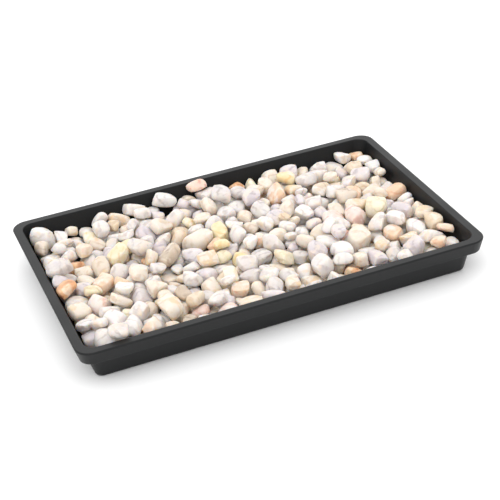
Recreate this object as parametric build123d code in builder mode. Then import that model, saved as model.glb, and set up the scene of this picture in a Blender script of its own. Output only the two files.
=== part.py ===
from build123d import *

import math
import os

import numpy as np

# Pebble humidity tray: a shallow moulded tray with a turned-down rim, filled with loose tumbled pebbles.
# Millimetres, +Z up, the long side along X, the front at -Y, the origin at the middle of the base.

# Tray sizes
tray_length = 305.0
tray_width = 203.2
tray_height = 29.0
rim_width = 7.0
rim_thickness = 2.4
skirt_height = 10.4
skirt_thickness = 2.0
wall_thickness = 2.2
floor_thickness = 2.2
wall_draft = 15.8
rim_corner_radius = 12.0
basin_corner_radius = 9.4
base_corner_radius = 5.0
rim_outer_round = 1.0
rim_inner_round = 0.7
skirt_edge_round = 0.6
base_edge_round = 3.0
floor_edge_round = 1.0

# Pebble sizes
stone_length = 14.0
stone_gap = 0.3
shortest_stone_share = 0.62
longest_stone_share = 1.35
stone_spread_share = 0.19
width_shares = (0.68, 0.95)
thickness_shares = (0.62, 0.9)

# Shape of one pebble: how far its corners, edges and faces lie from its middle on the roundest and on the
# blockiest stones, how uneven it is, and how many flats were worn on it, each at a share of its reach
round_radius_shares = {3: 0.97, 2: 1.03, 1: 1.13}
blocky_radius_shares = {3: 1.12, 2: 1.1, 1: 1.13}
uneven_share = 0.2
flat_count = 8
flat_depth_shares = (0.6, 0.88)

# The bed: the upper stones stand at about one to a stone's length each way, the lower ones wider apart
bed_seed = 14
upper_pitch_share = 0.85
lower_pitch_share = 1.0
lower_size_share = 1.05
edge_margin_share = 0.33
place_jitter_share = 0.45
upper_start_shares = (1.05, 1.5)
lower_start_shares = (0.35, 0.75)
start_tilt = 0.3

# How far the levelled surface lies below the rim at the front left, and how much lower it runs
# along the tray, across it (less than nothing, so it rises), and towards the back right corner
surface_drop = 0.3
drop_along = 5.0
drop_across = -1.4
drop_corner = 5.4

# Settling: the number of steps, the directions tried for each pair of stones, the planes that stand for the
# walls and their rounded corners, and how stiffly the stones give way, press down, sink, turn and, where
# they were chosen by hand, keep to their spots at each step
settle_steps = 320
direction_count = 120
wall_plane_count = 16
yield_share = 0.8
crowd_share = 0.3
level_share = 0.5
sink_share = 0.016
turn_share = 0.32
hold_share = 0.06
largest_turn = 0.2
levelling_ends = 0.75
sinking_ends = 0.85

# How often each kind of stone turns up among those that aren't placed by hand
kind_shares = {
    "white": 0.33,
    "cream": 0.24,
    "grey": 0.18,
    "lilac": 0.09,
    "peach": 0.045,
    "tan": 0.05,
    "pink": 0.025,
    "yellow": 0.012,
    "olive": 0.012,
    "brown": 0.012,
    "amber": 0.003,
    "terracotta": 0.001,
}

# Stones that stand out, chosen by hand: kind, shares of the tray's length and width, share of the usual size
marked_stone_shares = [
    ("white", 0.07, 0.91, 1.40),
    ("yellow", 0.20, 0.84, 0.95),
    ("amber", 0.10, 0.66, 1.25),
    ("grey", 0.09, 0.76, 1.00),
    ("lilac", 0.08, 0.44, 1.00),
    ("olive", 0.10, 0.38, 1.00),
    ("peach", 0.14, 0.44, 1.30),
    ("white", 0.08, 0.11, 1.55),
    ("white", 0.11, 0.23, 1.35),
    ("olive", 0.16, 0.25, 0.80),
    ("white", 0.14, 0.12, 1.25),
    ("grey", 0.19, 0.13, 1.20),
    ("cream", 0.24, 0.16, 1.50),
    ("yellow", 0.25, 0.69, 1.05),
    ("amber", 0.28, 0.61, 0.70),
    ("lilac", 0.31, 0.76, 1.35),
    ("brown", 0.32, 0.57, 1.45),
    ("white", 0.32, 0.91, 1.20),
    ("grey", 0.39, 0.91, 1.40),
    ("yellow", 0.43, 0.74, 1.05),
    ("cream", 0.42, 0.60, 1.50),
    ("yellow", 0.45, 0.50, 0.90),
    ("olive", 0.42, 0.44, 1.00),
    ("lilac", 0.38, 0.36, 1.20),
    ("grey", 0.36, 0.43, 0.95),
    ("olive", 0.42, 0.30, 1.10),
    ("tan", 0.31, 0.17, 1.00),
    ("tan", 0.30, 0.25, 0.90),
    ("brown", 0.27, 0.11, 0.90),
    ("terracotta", 0.50, 0.91, 1.20),
    ("amber", 0.60, 0.93, 0.80),
    ("olive", 0.64, 0.92, 0.85),
    ("yellow", 0.73, 0.87, 1.15),
    ("white", 0.80, 0.86, 1.25),
    ("white", 0.81, 0.93, 1.25),
    ("pink", 0.70, 0.73, 1.00),
    ("pink", 0.74, 0.70, 0.90),
    ("lilac", 0.70, 0.50, 1.15),
    ("peach", 0.92, 0.92, 0.95),
    ("tan", 0.91, 0.80, 0.90),
    ("brown", 0.83, 0.59, 1.15),
    ("pink", 0.79, 0.47, 1.35),
    ("terracotta", 0.73, 0.36, 1.05),
    ("white", 0.68, 0.25, 1.50),
    ("cream", 0.76, 0.29, 1.45),
    ("lilac", 0.74, 0.16, 1.15),
    ("amber", 0.69, 0.12, 1.00),
    ("brown", 0.84, 0.38, 1.15),
    ("pink", 0.95, 0.61, 0.70),
    ("white", 0.89, 0.42, 1.10),
    ("tan", 0.94, 0.27, 1.15),
    ("peach", 0.91, 0.13, 0.85),
    ("lilac", 0.86, 0.14, 1.35),
    ("white", 0.95, 0.13, 0.95),
    ("white", 0.62, 0.15, 1.30),
    ("cream", 0.70, 0.92, 1.10),
]

# Parts of the tray that each kind is sorted into: how many along it and how many across it
kind_zones = {
    "white": (4, 2),
    "cream": (4, 2),
    "grey": (4, 2),
    "lilac": (2, 2),
    "peach": (2, 1),
    "tan": (2, 1),
    "pink": (2, 1),
    "yellow": (1, 1),
    "olive": (1, 1),
    "brown": (1, 1),
    "amber": (1, 1),
    "terracotta": (1, 1),
}
column_names = {1: ("",), 2: ("_left", "_right"), 4: ("_left", "_mid_left", "_mid_right", "_right")}
row_names = {1: ("",), 2: ("_front", "_back")}

os.makedirs("parts", exist_ok=True)

# Tray


def draft_inset(height):
    """How far a drafted wall leans in over a height."""
    return height * math.tan(math.radians(wall_draft))


def outline(level, inset, radius):
    """The tray's rounded outline at a level, drawn in by inset and by the draft of its walls."""
    lean = inset + draft_inset(tray_height - level)
    with BuildSketch(Plane.XY.offset(level)) as section:
        RectangleRounded(tray_length - 2 * lean, tray_width - 2 * lean, radius)
    return section.sketch


skirt_bottom = tray_height - skirt_height
rim_underside = tray_height - rim_thickness
wall_inset = rim_width - wall_thickness
skirt_inner_radius = rim_corner_radius - skirt_thickness
downwards = (0, 0, -1)

with BuildPart() as tray:
    # Rim and skirt, open below
    extrude(outline(tray_height, 0, rim_corner_radius), skirt_height, dir=downwards, taper=wall_draft)
    under_rim = outline(rim_underside, skirt_thickness, skirt_inner_radius)
    under_rim_depth = rim_underside - skirt_bottom
    extrude(under_rim, under_rim_depth, dir=downwards, taper=wall_draft, mode=Mode.SUBTRACT)
    # Wall and floor, hollowed to the basin
    extrude(outline(0, wall_inset, base_corner_radius), tray_height, taper=-wall_draft)
    basin_depth = tray_height - floor_thickness
    basin = outline(tray_height, rim_width, basin_corner_radius)
    extrude(basin, basin_depth, dir=downwards, taper=wall_draft, mode=Mode.SUBTRACT)
    # Rounded edges of the level faces, from the underside of the base up to the rim's top
    base, floor, skirt_lip, _, rim_top = tray.faces().filter_by(Axis.Z).sort_by(Axis.Z)
    rim_mouth = rim_top.inner_wires()[0].edges()
    fillet(base.outer_wire().edges(), radius=base_edge_round)
    fillet(floor.edges(), radius=floor_edge_round)
    fillet(skirt_lip.edges(), radius=skirt_edge_round)
    fillet(rim_top.outer_wire().edges(), radius=rim_outer_round)
    fillet(rim_mouth, radius=rim_inner_round)
tray.part.label = "tray"
export_step(tray.part, "parts/tray.step")

# Shape of a pebble
# Each pebble is six Bezier patches over the faces of a cube, which share the control points along its edges.
# The control points are the outer ones of a lattice of four by four by four.

lattice_steps = (-1, -1 / 3, 1 / 3, 1)
last_step = len(lattice_steps) - 1
lattice_cells = [
    (i, j, k)
    for i in range(len(lattice_steps))
    for j in range(len(lattice_steps))
    for k in range(len(lattice_steps))
    if {0, last_step} & {i, j, k}
]
lattice_points = np.array([[lattice_steps[i] for i in cell] for cell in lattice_cells])
samples_per_side = 5


def patch_rows():
    """For each of the six patches, the rows of its control points, as places in lattice_cells."""
    patches = []
    for axis in range(3):
        for end in (0, last_step):
            rows = []
            for across in range(len(lattice_steps)):
                row = []
                for along in range(len(lattice_steps)):
                    cell = [end, end, end]
                    cell[(axis + 1) % 3] = across
                    cell[(axis + 2) % 3] = along
                    row.append(lattice_cells.index(tuple(cell)))
                rows.append(row)
            patches.append(rows if end else rows[::-1])
    return patches


def bernstein(share):
    """Weights of a cubic curve's four control points at a share of its length."""
    return [math.comb(last_step, n) * share**n * (1 - share) ** (last_step - n) for n in range(last_step + 1)]


def surface_weights(patches):
    """Weights that turn the control points into points spread over the surface, each point once."""
    rows = {}
    for patch in patches:
        for s in np.linspace(0, 1, samples_per_side):
            for t in np.linspace(0, 1, samples_per_side):
                row = np.zeros(len(lattice_cells))
                for across, weight_across in enumerate(bernstein(s)):
                    for along, weight_along in enumerate(bernstein(t)):
                        row[patch[across][along]] += weight_across * weight_along
                rows[tuple(np.round(row, 9))] = row
    return np.array(list(rows.values()))


patches = patch_rows()
weights = surface_weights(patches)


def pebble_cage(size, random):
    """Control points of one worn stone of the given length, width and thickness, about its middle."""
    sides_touched = np.sum(np.abs(lattice_points) == 1, axis=1)
    round_radii = np.array([round_radius_shares[n] for n in sides_touched])
    blocky_radii = np.array([blocky_radius_shares[n] for n in sides_touched])
    radii = round_radii + random.uniform() * (blocky_radii - round_radii)
    cage = lattice_points / np.linalg.norm(lattice_points, axis=1)[:, None] * radii[:, None]
    # Each corner of the cube swells or shrinks, and the points between follow
    swell = np.zeros(len(cage))
    for corner in np.ndindex(2, 2, 2):
        nearness = np.where(np.array(corner) == 1, (1 + lattice_points) / 2, (1 - lattice_points) / 2)
        swell += nearness.prod(axis=1) * random.uniform(1 - uneven_share, 1 + uneven_share)
    cage *= swell[:, None]
    # Worn flats: what lies beyond each plane is pressed back onto it
    for _ in range(flat_count):
        normal = random.normal(size=3)
        normal /= np.linalg.norm(normal)
        reach = (cage @ normal).max() * random.uniform(*flat_depth_shares)
        cage -= np.maximum(cage @ normal - reach, 0)[:, None] * normal
    surface = weights @ cage
    low = surface.min(axis=0)
    high = surface.max(axis=0)
    return (cage - (low + high) / 2) / (high - low) * np.array(size)


# Places of the pebbles
# The bed is settled in typical stone lengths, so it comes out alike at any scale.


def in_stones(length):
    """A length as a share of a typical stone's, rounded so that scaled sizes give the same share."""
    return round(length / stone_length, 6)


def surface_level(places):
    """Height of the levelled bed above the base at each place."""
    along = np.clip(places[:, 0] / in_stones(tray_length) + 0.5, 0, 1)
    across = np.clip(places[:, 1] / in_stones(tray_width) + 0.5, 0, 1)
    drop = surface_drop + drop_along * along + drop_across * across + drop_corner * along * across
    return (tray_height - drop) / stone_length


def basin_planes():
    """Outward normals and offsets of planes that touch the basin's walls, rounded corners and floor."""
    lean = math.radians(wall_draft)
    corner_middle = np.array([tray_length, tray_width]) / 2 - rim_width - basin_corner_radius
    planes = []
    for turn in np.linspace(0, 2 * math.pi, wall_plane_count, endpoint=False):
        facing = np.array([math.cos(turn), math.sin(turn)])
        reach = np.abs(facing) @ corner_middle + basin_corner_radius
        normal = np.append(facing * math.cos(lean), -math.sin(lean))
        planes.append((normal, in_stones(normal[:2] @ facing * reach + normal[2] * tray_height - stone_gap)))
    planes.append((np.array([0, 0, -1]), -in_stones(floor_thickness + stone_gap)))
    return planes


def start_places(random):
    """Places and size shares of an even, jittered upper and lower layer of stones, the upper ones first."""
    half_length = in_stones(tray_length / 2 - rim_width - edge_margin_share * stone_length)
    half_width = in_stones(tray_width / 2 - rim_width - edge_margin_share * stone_length)
    places = []
    sizes = []
    for pitch, heights, size_share in (
        (upper_pitch_share, upper_start_shares, 1),
        (lower_pitch_share, lower_start_shares, lower_size_share),
    ):
        columns = round(2 * half_length / pitch)
        rows = round(2 * half_width / pitch)
        for row, column in np.ndindex(rows, columns):
            jitter = random.uniform(-place_jitter_share, place_jitter_share, 2)
            along = (column + 0.25 + 0.5 * (row % 2) + jitter[0]) / columns
            across = (row + 0.5 + jitter[1]) / rows
            places.append(((2 * along - 1) * half_length, (2 * across - 1) * half_width, random.uniform(*heights)))
            size = np.clip(random.normal(1, stone_spread_share), shortest_stone_share, longest_stone_share)
            sizes.append(size_share * size)
    return np.array(places), np.array(sizes)


def deal_kinds(count):
    """Kinds for a row of stones, dealt so that every stretch of it gets its share of each kind."""
    golden_share = (math.sqrt(5) - 1) / 2
    deals = np.arange(count) * golden_share % 1
    names = list(kind_shares)
    limits = np.cumsum(list(kind_shares.values()))[:-1]
    return [names[n] for n in np.searchsorted(limits, deals)]


def place_marked_stones(places, sizes, kinds):
    """Give each stone chosen by hand the nearest place that is still free in the upper layer, and list them."""
    free = [n for n in range(len(places)) if places[n, 2] > max(lower_start_shares)]
    marked = []
    for kind, along, across, size in marked_stone_shares:
        spot = np.array([(along - 0.5) * in_stones(tray_length), (across - 0.5) * in_stones(tray_width)])
        nearest = min(free, key=lambda n: np.linalg.norm(places[n, :2] - spot))
        free.remove(nearest)
        marked.append(nearest)
        places[nearest, :2] = spot
        sizes[nearest] = size
        kinds[nearest] = kind
    return marked


def turn_matrices(turns):
    """Rotation matrices for rows of an axis times an angle."""
    angles = np.linalg.norm(turns, axis=1)[:, None, None]
    x, y, z = turns.T
    zero = np.zeros(len(turns))
    cross = np.stack([zero, -z, y, z, zero, -x, -y, x, zero], axis=1).reshape(-1, 3, 3)
    return np.eye(3) + np.sinc(angles / math.pi) * cross + np.sinc(angles / 2 / math.pi) ** 2 / 2 * cross @ cross


def spread_directions():
    """Directions spread evenly over a sphere, the second half of them opposite to the first."""
    steps = np.arange(direction_count // 2)
    heights = 1 - (2 * steps + 1) / direction_count
    golden_angle = math.pi * (3 - math.sqrt(5))
    rings = np.sqrt(1 - heights**2)
    upper = np.stack([rings * np.cos(steps * golden_angle), rings * np.sin(steps * golden_angle), heights], axis=1)
    return np.vstack([upper, -upper])


def tight_pairs(middles, surfaces, reaches, directions):
    """Pairs of stones that are nearer than the gap.

    Gives each pair's two stones, the direction from the first to the second that parts them best, how much
    they lack of the gap along it, and the two stones' points that lie furthest along it.
    """
    gap = in_stones(stone_gap)
    spans = surfaces @ directions.T
    furthest = spans.argmax(axis=1)
    supports = spans.max(axis=1)
    opposite = (np.arange(direction_count) + direction_count // 2) % direction_count
    distances = np.linalg.norm(middles[:, None] - middles[None], axis=2)
    first, second = np.nonzero(np.triu(distances < reaches[:, None] + reaches[None] + gap, 1))
    apart = (middles[second] - middles[first]) @ directions.T - supports[first] - supports[second][:, opposite]
    best = apart.argmax(axis=1)
    lack = gap - apart.max(axis=1)
    tight = lack > 0
    first, second, best, lack = first[tight], second[tight], best[tight], lack[tight]
    first_points = surfaces[first, furthest[first, best]]
    second_points = surfaces[second, furthest[second, opposite[best]]]
    return first, second, directions[best], lack, first_points, second_points


def settle(cages, places, marked, random):
    """Control points of every stone where it comes to rest.

    At each step the stones that are too near give way and turn, the walls and floor push back, a levelling
    hand presses down what stands proud of the bed, the marked stones are drawn back over their spots, and
    all sink a little.
    """
    surfaces_at_start = weights @ cages
    reaches = np.linalg.norm(surfaces_at_start, axis=2).max(axis=1)
    turning_ease = turn_share / np.mean(surfaces_at_start**2, axis=(1, 2)) / 3
    directions = spread_directions()
    planes = basin_planes()
    stones = np.arange(len(cages))
    headings = np.zeros((len(cages), 3))
    headings[:, 2] = random.uniform(0, 2 * math.pi, len(cages))
    frames = turn_matrices(random.normal(0, start_tilt, (len(cages), 3))) @ turn_matrices(headings)
    middles = places.copy()
    for step in range(settle_steps):
        surfaces = surfaces_at_start @ frames.transpose(0, 2, 1)
        pushes = np.zeros_like(middles)
        twists = np.zeros_like(middles)
        touches = np.zeros(len(cages))
        first, second, normals, lack, first_points, second_points = tight_pairs(
            middles, surfaces, reaches, directions
        )
        shoves = normals * lack[:, None] / 2
        for side, points, shove in ((first, first_points, -shoves), (second, second_points, shoves)):
            np.add.at(pushes, side, shove)
            np.add.at(twists, side, np.cross(points, shove))
            np.add.at(touches, side, 1)
        for normal, offset in planes:
            spans = surfaces @ normal
            nearest = surfaces[stones, spans.argmax(axis=1)]
            over = np.maximum(spans.max(axis=1) + middles @ normal - offset, 0)
            shove = -over[:, None] * normal
            pushes += shove
            twists += np.cross(nearest, shove)
            touches += over > 0
        tops = surfaces[stones, surfaces[:, :, 2].argmax(axis=1)]
        proud = np.maximum(middles[:, 2] + tops[:, 2] - surface_level(middles), 0)
        firmness = level_share * max(0, 1 - step / settle_steps / levelling_ends)
        shove = -firmness * proud[:, None] * np.array([0, 0, 1])
        pushes += shove
        twists += np.cross(tops, shove)
        touches += proud * firmness > 0
        ease = yield_share / np.maximum(1, crowd_share * touches)[:, None]
        middles += ease * pushes
        middles[marked, :2] += firmness * hold_share * (places[marked, :2] - middles[marked, :2])
        middles[:, 2] -= sink_share * max(0, 1 - step / settle_steps / sinking_ends)
        turns = ease * twists * turning_ease[:, None]
        angles = np.linalg.norm(turns, axis=1)
        turns *= (largest_turn / np.maximum(angles, largest_turn))[:, None]
        frames = turn_matrices(turns) @ frames
    drawn_in = clearance_scales(middles, surfaces_at_start @ frames.transpose(0, 2, 1), reaches, directions)
    return (cages * drawn_in[:, None, None]) @ frames.transpose(0, 2, 1) + middles[:, None]


def clearance_scales(middles, surfaces, reaches, directions):
    """How much each stone is drawn in about its middle to keep the gap from its neighbours, walls and floor."""
    scales = np.ones(len(middles))
    first, second, normals, lack, first_points, second_points = tight_pairs(middles, surfaces, reaches, directions)
    for side, points, facing in ((first, first_points, normals), (second, second_points, -normals)):
        spans = np.sum(points * facing, axis=1)
        np.minimum.at(scales, side, 1 - lack / 2 / spans)
    for normal, offset in basin_planes():
        scales = np.minimum(scales, (offset - middles @ normal) / (surfaces @ normal).max(axis=1))
    return scales


# The settled bed

random = np.random.default_rng(bed_seed)
places, sizes = start_places(random)
kinds = deal_kinds(len(places))
marked = place_marked_stones(places, sizes, kinds)
cages = []
for size in sizes:
    width = size * random.uniform(*width_shares)
    thickness = width * random.uniform(*thickness_shares)
    cages.append(pebble_cage((size, width, thickness), random))
settled_cages = settle(np.array(cages), places, marked, random) * stone_length


# Pebbles, sorted by kind and by part of the tray


def zone_name(kind, place):
    """Name of the group that a stone of this kind that started at this place belongs to."""
    columns, rows = kind_zones[kind]
    column = math.floor((place[0] / in_stones(tray_length) + 0.5) * columns)
    row = math.floor((place[1] / in_stones(tray_width) + 0.5) * rows)
    return f"{kind}_pebbles{row_names[rows][row]}{column_names[columns][column]}"


def pebble_solid(cage):
    """Closed solid of the six patches over a stone's control points."""
    faces = []
    for patch in patches:
        rows = [[tuple(cage[point]) for point in row] for row in patch]
        faces.append(Face.make_bezier_surface(rows))
    return Solid(Shell(faces))


groups = {}
for cage, kind, place in zip(settled_cages, kinds, places):
    groups.setdefault(zone_name(kind, place), []).append(pebble_solid(cage))

for name, solids in groups.items():
    with BuildPart() as pebbles:
        add(solids)
    pebbles.part.label = name
    export_step(pebbles.part, f"parts/{name}.step")
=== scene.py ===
# %% [markdown]
# # A pebble humidity tray
# The object is a shallow black tray, moulded in one piece of plastic, that holds a bed of tumbled
# pebbles. Its construction is already made as solids, which this lesson loads as a fixed frame. What is
# left to do is the looks: the finish of the tray, the worn shape and the colour of each stone, and a soft
# light to see them by.

import math

import bpy
import numpy as np
from mathutils import Matrix, Vector


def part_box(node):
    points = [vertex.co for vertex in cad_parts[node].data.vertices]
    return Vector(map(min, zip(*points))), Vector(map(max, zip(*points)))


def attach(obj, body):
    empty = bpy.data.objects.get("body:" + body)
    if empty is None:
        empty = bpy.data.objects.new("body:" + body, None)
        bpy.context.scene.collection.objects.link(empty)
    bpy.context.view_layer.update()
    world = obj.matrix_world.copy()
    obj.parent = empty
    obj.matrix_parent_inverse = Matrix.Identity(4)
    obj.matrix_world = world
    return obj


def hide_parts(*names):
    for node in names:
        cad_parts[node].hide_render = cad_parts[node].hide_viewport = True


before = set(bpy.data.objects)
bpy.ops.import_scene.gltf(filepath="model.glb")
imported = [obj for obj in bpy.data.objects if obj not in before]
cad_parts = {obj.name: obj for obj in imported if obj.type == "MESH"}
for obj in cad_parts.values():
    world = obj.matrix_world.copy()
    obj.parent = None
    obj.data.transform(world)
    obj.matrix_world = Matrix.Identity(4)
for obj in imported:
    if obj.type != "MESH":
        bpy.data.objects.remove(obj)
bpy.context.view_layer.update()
tray_low, tray_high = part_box("tray")
pebble_nodes = sorted(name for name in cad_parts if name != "tray")
mm = 0.001
tray_sides_mm = [round(side / mm, 1) for side in tray_high - tray_low]
print(len(pebble_nodes), "groups of pebbles, and a tray of", tray_sides_mm, "mm")

# %% [markdown]
# The camera comes first, because everything else is judged through it. The photograph's place was worked
# out from the edges of the rim, the skirt and the base: a long lens, from the front and a little to the
# left, looking down at about thirty degrees. The picture is square, so the lens is worked out for a frame
# of that shape. The roll is small, but without it the long edges of the rim run at the wrong slope.

# %% Camera
lens_mm = 98.88
sensor_mm = 36
camera_azimuth = math.radians(-18.39)
camera_elevation = math.radians(30.29)
camera_roll = math.radians(-5.96)
camera_distance = 1018.6 * mm
camera_right = 7.51 * mm
camera_up = -13.8 * mm
nearest_seen = 10 * mm
farthest_seen = 20

back = Vector((
    math.sin(camera_azimuth) * math.cos(camera_elevation),
    -math.cos(camera_azimuth) * math.cos(camera_elevation),
    math.sin(camera_elevation),
))
level = Vector((0, 0, 1)).cross(back).normalized()
upright = back.cross(level)
right = math.cos(camera_roll) * level + math.sin(camera_roll) * upright
up = math.cos(camera_roll) * upright - math.sin(camera_roll) * level

rim_middle = Vector((0, 0, tray_high.z))
camera_place = rim_middle + back * camera_distance + right * camera_right + up * camera_up
bpy.ops.object.camera_add(location=camera_place)
camera = bpy.context.object
camera.name = "Camera"
camera.rotation_euler = Matrix((right, up, back)).transposed().to_euler()
camera.data.lens = lens_mm
camera.data.sensor_width = sensor_mm
camera.data.clip_start = nearest_seen
camera.data.clip_end = farthest_seen
bpy.context.scene.camera = camera
print("camera at", [round(x, 4) for x in camera.location])

# %% [markdown]
# Colours are written the way a screen shows them, as hex values, because that is how a colour is picked
# from sight. The shaders count light itself, so one function turns the hex value to that linear scale. A
# second one adds a shader node with its settings and links in a single line, which keeps each material
# short enough to read.

# %% Colour and node helpers


def linear(hex_colour):
    """The light that a screen colour such as F4F1EC stands for, as red, green, blue and one for alpha."""
    shares = [int(hex_colour[n:n + 2], 16) / 255 for n in (0, 2, 4)]
    return [s / 12.92 if s <= 0.04045 else ((s + 0.055) / 1.055) ** 2.4 for s in shares] + [1]


def add_node(material, kind, links=None, **settings):
    """Adds a node. Settings are its own values, links its inputs: a value, or another node's output."""
    tree = material.node_tree
    node = tree.nodes.new("ShaderNode" + kind)
    for name, value in settings.items():
        setattr(node, name, value)
    for name, value in (links or {}).items():
        if isinstance(value, bpy.types.NodeSocket):
            tree.links.new(value, node.inputs[name])
        else:
            node.inputs[name].default_value = value
    return node


def new_material(name):
    """A material with no nodes yet."""
    material = bpy.data.materials.new(name)
    material.use_nodes = True
    material.node_tree.nodes.clear()
    return material


def per_metre(feature_mm):
    """The scale of a pattern whose features are this many millimetres across."""
    return 1 / (feature_mm * mm)


print("the screen's middle grey in linear light:", [round(x, 3) for x in linear("808080")])

# %% [markdown]
# The tray is black plastic, probably high-impact polystyrene or ABS, moulded against a tool with a fine
# even grain. The grain scatters the reflection, so the black looks satin grey where it mirrors the bright
# room at a low angle and nearly black where it faces the eye. Polystyrene has an index of refraction of
# 1.59 and ABS one of 1.54. The grain takes away some of the shine, so the value used is a little lower.
# The roughness changes slowly from place to place, and there is a little dust, as on a real one. The
# grain is drawn as bump, coarser than the real fifth of a millimetre, so that it shows.

# %% Moulded black plastic
plastic = new_material("moulded_black_polystyrene")
grain_mm = 0.45
grain_depth_mm = 0.06
handling_mm = 38
dust_mm = 1.3
place = add_node(plastic, "TexCoord").outputs["Object"]
grain = add_node(plastic, "TexNoise", {"Vector": place, "Scale": per_metre(grain_mm), "Detail": 2.0})
handling = add_node(plastic, "TexNoise", {"Vector": place, "Scale": per_metre(handling_mm), "Detail": 4.0})
dust = add_node(plastic, "TexNoise", {"Vector": place, "Scale": per_metre(dust_mm), "Detail": 3.0})
dust_spots = add_node(
    plastic, "MapRange",
    {"Value": dust.outputs["Fac"], "From Min": 0.62, "From Max": 0.8, "To Max": 0.35},
)
shade = add_node(
    plastic, "Mix",
    {"Factor": handling.outputs["Fac"], "A": linear("121314"), "B": linear("18191A")},
    data_type="RGBA",
)
dusty = add_node(
    plastic, "Mix",
    {"Factor": dust_spots.outputs["Result"], "A": shade.outputs["Result"], "B": linear("343536")},
    data_type="RGBA",
)
satin = add_node(
    plastic, "MapRange",
    {"Value": handling.outputs["Fac"], "From Min": 0.3, "From Max": 0.7, "To Min": 0.4, "To Max": 0.5},
)
pitted = add_node(
    plastic, "Bump",
    {"Height": grain.outputs["Fac"], "Strength": 0.22, "Distance": grain_depth_mm * mm},
)
body = add_node(
    plastic, "BsdfPrincipled",
    {"Base Color": dusty.outputs["Result"], "Roughness": satin.outputs["Result"], "IOR": 1.5,
     "Specular Tint": linear("B2B2B2"), "Normal": pitted.outputs["Normal"]},
)
add_node(plastic, "OutputMaterial", {"Surface": body.outputs["BSDF"]})
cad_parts["tray"].data.materials.clear()
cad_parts["tray"].data.materials.append(plastic)
print("tray finish:", plastic.name)

# %% [markdown]
# A pebble starts as a broken piece of rock and is worn in a tumbling barrel until only rounded flats are
# left. The frame has one plain solid for each stone. Over it goes a finer skin: one blank, a cube cut
# into even squares and blown up to a ball, is copied for every stone, shrunk onto it, smoothed and dented
# a little. A ball made this way has no poles, so its faces are even all round. The dents only go inwards,
# so no stone grows into its neighbour.

# %% The blank that every stone starts from
blank_side = 2
blank_cuts = 7
bpy.ops.object.select_all(action="DESELECT")
bpy.ops.mesh.primitive_cube_add(size=blank_side)
blank = bpy.context.object
blank.name = "stone_blank"
bpy.ops.object.mode_set(mode="EDIT")
bpy.ops.mesh.select_all(action="SELECT")
bpy.ops.mesh.subdivide(number_cuts=blank_cuts)
bpy.ops.object.mode_set(mode="OBJECT")
ball = blank.modifiers.new("ball", "CAST")
ball.factor = 1
ball.radius = blank_side / 2
ball.use_radius_as_size = True
bpy.ops.object.modifier_apply(modifier=ball.name)
print("the blank has", len(blank.data.polygons), "faces")

# %% [markdown]
# A node of the frame holds all the stones of its group in one mesh of loose triangles. It could be
# dressed as a whole, but a blank can only be shrunk onto one stone at a time, so a copy of the node is
# merged and taken apart into single stones.

# %% Take a group of stones apart
merge_mm = 0.002


def middle_and_size(stone):
    """The middle of a stone's box, and its three sides."""
    corners = np.array([v.co for v in stone.data.vertices])
    low = corners.min(axis=0)
    high = corners.max(axis=0)
    return Vector((low + high) / 2), Vector(high - low)


def loose_stones(node):
    """The stones of a node of the frame, each as an object of its own, from left to right."""
    bpy.ops.object.select_all(action="DESELECT")
    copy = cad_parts[node].copy()
    copy.data = copy.data.copy()
    copy.parent = None
    bpy.context.collection.objects.link(copy)
    bpy.context.view_layer.objects.active = copy
    copy.select_set(True)
    bpy.ops.object.mode_set(mode="EDIT")
    bpy.ops.mesh.select_all(action="SELECT")
    bpy.ops.mesh.remove_doubles(threshold=merge_mm * mm)
    bpy.ops.mesh.separate(type="LOOSE")
    bpy.ops.object.mode_set(mode="OBJECT")
    return sorted(bpy.context.selected_objects, key=lambda stone: tuple(middle_and_size(stone)[0]))


print("vertices closer than", merge_mm, "mm are merged")

# %% [markdown]
# Sculpting several hundred stones by hand would take days, so modifiers do it. The first draws the blank
# onto the stone, and a smoothing evens out its faces. That pulls it off the stone a little, so it is
# drawn on once more. The last modifier dents it with a cloudy pattern whose brightest parts stay where
# they are.

# %% Draw the blank onto a stone
dent_mm = 5.5
dent_depth_mm = 0.5
smoothing_rounds = 2
smoothing_share = 0.4
dents = bpy.data.textures.new("dents", "CLOUDS")
dents.noise_scale = dent_mm * mm
dents.noise_depth = 1


def draw_onto(skin, stone, name):
    """A modifier that moves each vertex of the skin to the nearest place on the stone."""
    shrink = skin.modifiers.new(name, "SHRINKWRAP")
    shrink.target = stone
    shrink.wrap_method = "NEAREST_SURFACEPOINT"


def skin_over(stone):
    """A copy of the blank, as large as the stone, with the modifiers that draw it on and wear it."""
    middle, size = middle_and_size(stone)
    skin = blank.copy()
    skin.data = blank.data.copy()
    bpy.context.collection.objects.link(skin)
    skin.data.transform(Matrix.LocRotScale(middle, None, size / blank_side))
    draw_onto(skin, stone, "shrink")
    even = skin.modifiers.new("even", "SMOOTH")
    even.iterations = smoothing_rounds
    even.factor = smoothing_share
    draw_onto(skin, stone, "again")
    wear = skin.modifiers.new("wear", "DISPLACE")
    wear.texture = dents
    wear.texture_coords = "LOCAL"
    wear.strength = dent_depth_mm * mm
    wear.mid_level = 1
    return skin


print("dents up to", dent_depth_mm, "mm deep")

# %% [markdown]
# Every stone also gets three numbers of its own, from nought to one, drawn once with a fixed seed. The
# finish reads them to give each stone its own shade, its own pattern and its own direction of the layers.
# The skins of a group are then joined to one piece, which takes the place of the group's plain solids.

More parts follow.
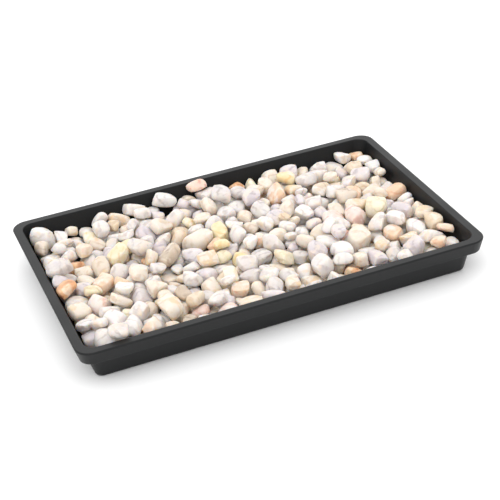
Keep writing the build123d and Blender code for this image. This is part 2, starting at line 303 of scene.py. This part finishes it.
# %% Skins for all the stones
number_seed = 5
random = np.random.default_rng(number_seed)
pebbles = {}
for node in pebble_nodes:
    stones = loose_stones(node)
    skins = [skin_over(stone) for stone in stones]
    bpy.ops.object.select_all(action="DESELECT")
    for skin in skins:
        skin.select_set(True)
    bpy.context.view_layer.objects.active = skins[0]
    bpy.ops.object.convert(target="MESH")
    for skin in skins:
        own = skin.data.attributes.new("own_numbers", "FLOAT_VECTOR", "POINT")
        own.data.foreach_set("vector", np.tile(random.random(3), len(skin.data.vertices)))
    bpy.ops.object.join()
    piece = bpy.context.object
    piece.name = node.replace("_pebbles", "_stones")
    piece.data.name = piece.name
    bpy.ops.object.shade_smooth()
    for stone in stones:
        bpy.data.objects.remove(stone)
    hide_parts(node)
    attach(piece, "pebble_bed")
    pebbles[node] = piece
bpy.data.objects.remove(blank)
faces = sum(len(piece.data.polygons) for piece in pebbles.values())
print(len(pebbles), "pieces of stones with", faces, "faces")

# %% [markdown]
# The stones are mixed river and quarry pebbles: milky quartz, marble, limestone and a few of jasper and
# sandstone. They were tumbled without polish, so they shine softly, like wax. Light enters them and comes
# back a few millimetres away, which blurs their shadows, so they have subsurface scattering. Their colour
# isn't even: there are soft clouds, thin veins along the old layers of the rock, fine specks and, on some
# stones, a broad patch of another tint. Each kind has four colours for these: two for the clouds, one for
# the veins and specks and one for the patches. The share after them says how far the patches may spread.

# %% Colours of the kinds
stone_colours = {
    "white": ("E6E2DF", "DCD5D1", "C3B9B4", "E1D2C0", 0.6),
    "cream": ("E5DCD1", "DFD2C3", "CDBAA4", "DFC6A3", 0.6),
    "grey": ("E0DCD9", "D1CAC7", "B1A8A5", "DFD3C6", 0.7),
    "lilac": ("DCD6D7", "CEC5C7", "AEA3A8", "E1D5CA", 0.7),
    "peach": ("E6D3C2", "E2C3A6", "D8A784", "E7DFD6", 0.8),
    "tan": ("DFD2C0", "D5C2A8", "BFA486", "E5DDD2", 0.8),
    "pink": ("E5D7CF", "DFC6BC", "D1A99B", "E8E1DC", 0.8),
    "yellow": ("E6DCC4", "E3D1A6", "DDBD84", "E9E5DA", 0.9),
    "olive": ("EAE3D0", "E2D6B9", "C3B48F", "EBE6D9", 0.9),
    "brown": ("D6C9BA", "C4B3A0", "9F8B78", "E0D5C9", 0.9),
    "amber": ("E8C3A0", "DAA77D", "BB835A", "EBD7C2", 0.9),
    "terracotta": ("E4C0AF", "D8A895", "BF8671", "EAD5C6", 0.9),
}
print(len(stone_colours), "kinds of stone")

# %% [markdown]
# All stones of a kind share one material, so the stone's own numbers have to set them apart. They move
# the pattern by several metres, so that each stone shows another part of it, and turn it, so that the
# layers of neighbours don't run the same way.

# %% Where a stone's pattern lies
pattern_shift = (3.0, 5.0, 7.0)
whole_turns = (2 * math.pi, 2 * math.pi, 2 * math.pi)


def pattern_place(material):
    """Where the pattern is read on a stone, the same turned along its layers, and the stone's own numbers."""
    place = add_node(material, "TexCoord").outputs["Object"]
    own = add_node(material, "Attribute", attribute_name="own_numbers").outputs["Vector"]
    numbers = add_node(material, "SeparateXYZ", {"Vector": own}).outputs
    far = add_node(material, "VectorMath", {0: own, 1: pattern_shift}, operation="MULTIPLY").outputs[0]
    moved = add_node(material, "VectorMath", {0: place, 1: far}, operation="ADD").outputs[0]
    turn = add_node(material, "VectorMath", {0: own, 1: whole_turns}, operation="MULTIPLY").outputs[0]
    turned = add_node(
        material, "VectorRotate", {"Vector": moved, "Rotation": turn}, rotation_type="EULER_XYZ"
    ).outputs["Vector"]
    return moved, turned, numbers


print("patterns moved by up to", pattern_shift, "metres")

# %% [markdown]
# The ground colour goes between the kind's two tints, by the clouds and by the stone's own shade
# together.

# %% Clouds on a stone
cloud_mm = 6


def clouded(material, moved, numbers, light, dark):
    """The pattern of the clouds, and the ground colour that they make."""
    clouds = add_node(
        material, "TexNoise",
        {"Vector": moved, "Scale": per_metre(cloud_mm), "Detail": 4.0, "Roughness": 0.6},
    ).outputs["Fac"]
    shade = add_node(material, "MapRange", {"Value": clouds, "From Min": 0.35, "From Max": 0.68})
    own_shade = add_node(material, "MapRange", {"Value": numbers["X"], "To Min": -0.35, "To Max": 0.45})
    both = add_node(
        material, "Math", {0: shade.outputs["Result"], 1: own_shade.outputs["Result"]},
        operation="ADD", use_clamp=True,
    )
    ground = add_node(material, "Mix", {"Factor": both.outputs[0], "A": light, "B": dark}, data_type="RGBA")
    return clouds, ground.outputs["Result"]


print("clouds", cloud_mm, "mm across")

# %% [markdown]
# The veins are the crests of a wave pattern that runs crooked through the stone, as mineral seams do. A
# second, broader pattern lets them fade in and out. The wave texture draws 20 / 2 pi bands in each unit
# of its scale, which is why that unit is about three times as long as the distance from vein to vein, 6
# mm.

# %% Veins in a stone
wave_unit_mm = 19.2
vein_reach_mm = 9
vein_strength = 0.75


def veined(material, turned, under, vein):
    """The colour below with thin veins in it."""
    layers = add_node(
        material, "TexWave",
        {"Vector": turned, "Scale": per_metre(wave_unit_mm), "Distortion": 9.0, "Detail": 3.0,
         "Detail Scale": 1.3, "Detail Roughness": 0.6},
    )
    thin = add_node(
        material, "MapRange", {"Value": layers.outputs["Fac"], "From Min": 0.62, "From Max": 1.0}
    )
    patchy = add_node(material, "TexNoise", {"Vector": turned, "Scale": per_metre(vein_reach_mm)})
    where = add_node(
        material, "MapRange",
        {"Value": patchy.outputs["Fac"], "From Min": 0.4, "From Max": 0.6, "To Max": vein_strength},
    )
    veins = add_node(
        material, "Math", {0: thin.outputs["Result"], 1: where.outputs["Result"]}, operation="MULTIPLY"
    )
    colour = add_node(material, "Mix", {"Factor": veins.outputs[0], "A": under, "B": vein}, data_type="RGBA")
    return colour.outputs["Result"]


print("veins cover the ground by up to", vein_strength)

# %% [markdown]
# A patch is where a slow pattern rises above a level. The stone's own third number lowers that level, so
# some stones have no patch and others have a large one. The specks are the peaks of a fine pattern.

# %% Patches and specks on a stone
patch_mm = 9
patch_level = 0.66
patch_spread = 0.3
patch_strength = 0.85
speck_mm = 0.6
speck_strength = 0.3


def patched(material, moved, numbers, under, patch, patch_share):
    """The colour below with broad patches of another tint."""
    blots = add_node(
        material, "TexNoise",
        {"Vector": moved, "Scale": per_metre(patch_mm), "Detail": 5.0, "Distortion": 0.8},
    )
    reach = add_node(
        material, "MapRange",
        {"Value": numbers["Z"], "To Min": patch_level, "To Max": patch_level - patch_spread * patch_share},
    )
    over = add_node(
        material, "Math", {0: blots.outputs["Fac"], 1: reach.outputs["Result"]}, operation="SUBTRACT"
    )
    patches = add_node(
        material, "MapRange", {"Value": over.outputs[0], "From Max": 0.1, "To Max": patch_strength}
    )
    colour = add_node(
        material, "Mix", {"Factor": patches.outputs["Result"], "A": under, "B": patch}, data_type="RGBA"
    )
    return colour.outputs["Result"]


def speckled(material, moved, under, vein):
    """The colour below with fine specks of the veins' colour."""
    specks = add_node(material, "TexNoise", {"Vector": moved, "Scale": per_metre(speck_mm), "Detail": 2.0})
    fleck = add_node(
        material, "MapRange",
        {"Value": specks.outputs["Fac"], "From Min": 0.6, "From Max": 0.75, "To Max": speck_strength},
    )
    colour = add_node(
        material, "Mix", {"Factor": fleck.outputs["Result"], "A": under, "B": vein}, data_type="RGBA"
    )
    return colour.outputs["Result"]


print("patches", patch_mm, "mm and specks", speck_mm, "mm across")

# %% [markdown]
# The index of refraction is near that of quartz, 1.54. A tumbled skin is neither matt nor glossy, and it
# has fine pits, which are drawn as bump. Red light goes deeper into the stones than blue, so the
# scattering warms the edges of the shadows.

# %% Finish of the stones
pit_mm = 0.9
pit_depth_mm = 0.15
light_depth_mm = 4.5
light_depth_shares = (1.0, 0.75, 0.5)


def stone_finish(kind):
    """Tumbled stone of one kind, unpolished, with clouds, veins, patches and specks."""
    *colours, patch_share = stone_colours[kind]
    light, dark, vein, patch = (linear(colour) for colour in colours)
    material = new_material(f"tumbled_{kind}_stone")
    moved, turned, numbers = pattern_place(material)
    clouds, ground = clouded(material, moved, numbers, light, dark)
    layered = veined(material, turned, ground, vein)
    blotched = patched(material, moved, numbers, layered, patch, patch_share)
    skin = speckled(material, moved, blotched, vein)

    sheen = add_node(material, "MapRange", {"Value": clouds, "To Min": 0.36, "To Max": 0.56})
    pits = add_node(material, "TexNoise", {"Vector": moved, "Scale": per_metre(pit_mm), "Detail": 4.0})
    rough = add_node(
        material, "Bump",
        {"Height": pits.outputs["Fac"], "Strength": 0.35, "Distance": pit_depth_mm * mm},
    )
    body = add_node(
        material, "BsdfPrincipled",
        {"Base Color": skin, "Roughness": sheen.outputs["Result"], "IOR": 1.52, "Subsurface Weight": 0.85,
         "Subsurface Radius": light_depth_shares, "Subsurface Scale": light_depth_mm * mm,
         "Normal": rough.outputs["Normal"]},
    )
    add_node(material, "OutputMaterial", {"Surface": body.outputs["BSDF"]})
    return material


finishes = {kind: stone_finish(kind) for kind in stone_colours}
for node, piece in pebbles.items():
    piece.data.materials.clear()
    piece.data.materials.append(finishes[node.split("_")[0]])
print(len(finishes), "finishes of stone")

# %% [markdown]
# The photograph was taken on a white sweep under soft light from all round, so the floor is a wide pale
# sheet and the room a plain bright white.

# %% Floor and room
floor_side = 6
room_strength = 1.12
bpy.ops.object.select_all(action="DESELECT")
bpy.ops.mesh.primitive_plane_add(size=floor_side)
floor = bpy.context.object
floor.name = "floor"
sweep = new_material("white_paper_sweep")
paper = add_node(sweep, "BsdfDiffuse", {"Color": linear("FAFAFA")})
add_node(sweep, "OutputMaterial", {"Surface": paper.outputs["BSDF"]})
floor.data.materials.append(sweep)

scene = bpy.context.scene
scene.world = bpy.data.worlds.new("white_room")
scene.world.use_nodes = True
room = scene.world.node_tree.nodes["Background"]
room.inputs["Color"].default_value = linear("FFFFFF")
room.inputs["Strength"].default_value = room_strength
scene.view_settings.view_transform = "Standard"
print("floor", floor_side, "m wide, room at", room_strength)

# %% [markdown]
# A wide softbox above the tray, leaning to the front and the left, gives the stones their lit and shaded
# sides. It is a sun lamp with a wide angle, so its light falls evenly on the whole tray. A second softbox
# behind the tray is what the level rim mirrors. It faces the middle of the tray, and its place is in
# metres.

# %% Softboxes
overhead_energy = 0.95
overhead_spread = math.radians(60)
overhead_turn = (math.radians(22), math.radians(-18), 0)
rear_place = Vector((0.5, 1.65, 1.0))
rear_width = 2.2
rear_height = 1.0
rear_energy = 5
bpy.ops.object.light_add(type="SUN", location=(0, 0, 1), rotation=overhead_turn)
overhead = bpy.context.object
overhead.name = "overhead_softbox"
overhead.data.angle = overhead_spread
overhead.data.energy = overhead_energy

bpy.ops.object.light_add(type="AREA", location=rear_place)
rear = bpy.context.object
rear.name = "back_softbox"
rear.rotation_euler = rear_place.to_track_quat("Z", "Y").to_euler()
rear.data.shape = "RECTANGLE"
rear.data.size = rear_width
rear.data.size_y = rear_height
rear.data.energy = rear_energy
print(overhead.name, "and", rear.name, "placed")
